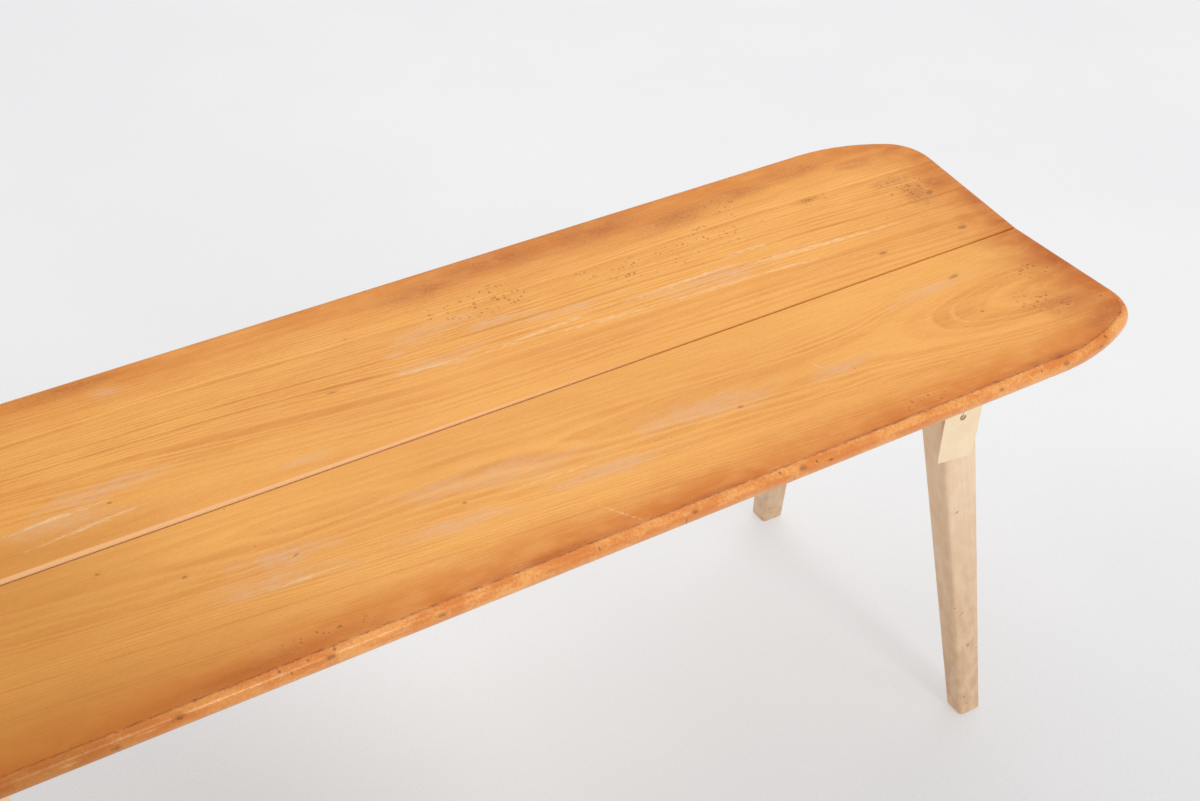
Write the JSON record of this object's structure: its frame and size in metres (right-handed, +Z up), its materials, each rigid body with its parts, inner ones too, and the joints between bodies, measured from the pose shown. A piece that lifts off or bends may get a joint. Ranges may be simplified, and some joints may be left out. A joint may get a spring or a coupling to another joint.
{
  "type": "bench",
  "caption": "Low wooden bench: long planks in a shallow V with soft corners and half-round edges, on splayed tapered legs wedged into cross battens, with a blank paper tag on a string.",
  "frame": {"origin": "on the floor, under the middle of the seat", "axes": "+X along the bench, to the right from the front; +Y from front to back; +Z up"},
  "size_m": [1.2, 0.3748, 0.4432],
  "materials": {
    "oiled_pine": "oiled, worn satin, honey orange",
    "plain_pine": "bare, planed",
    "pale_birch": "bare, rubbed smooth",
    "screw_steel": "dull plain steel",
    "staple_wire": "plain wire",
    "tag_card": "cream card, matt and blank",
    "tag_cotton": "white cotton string"
  },
  "bodies": {
    "bench": {"seat_plank_front": "oiled_pine", "seat_plank_rear": "oiled_pine", "batten_left": "plain_pine", "batten_middle": "plain_pine", "batten_right": "plain_pine", "leg_front_left": "pale_birch", "leg_front_right": "pale_birch", "leg_rear_left": "pale_birch", "leg_rear_right": "pale_birch", "wedge_front_left": "pale_birch", "wedge_front_right": "pale_birch", "wedge_rear_left": "pale_birch", "wedge_rear_right": "pale_birch", "screws_batten_left": "screw_steel", "screws_batten_middle": "screw_steel", "screws_batten_right": "screw_steel", "tag_staple": "staple_wire"},
    "tag": {"paper_tag": "tag_card", "tag_string": "tag_cotton", "tag_knot": "tag_cotton"}
  },
  "joints": [
    {"name": "tag_swing", "type": "hinge", "parent": "bench", "child": "tag", "pos_m": [0.4311, -0.134, 0.38794], "axis": [0.9848, -0.1736, 0], "range_deg": [-60, 3]}
  ]
}
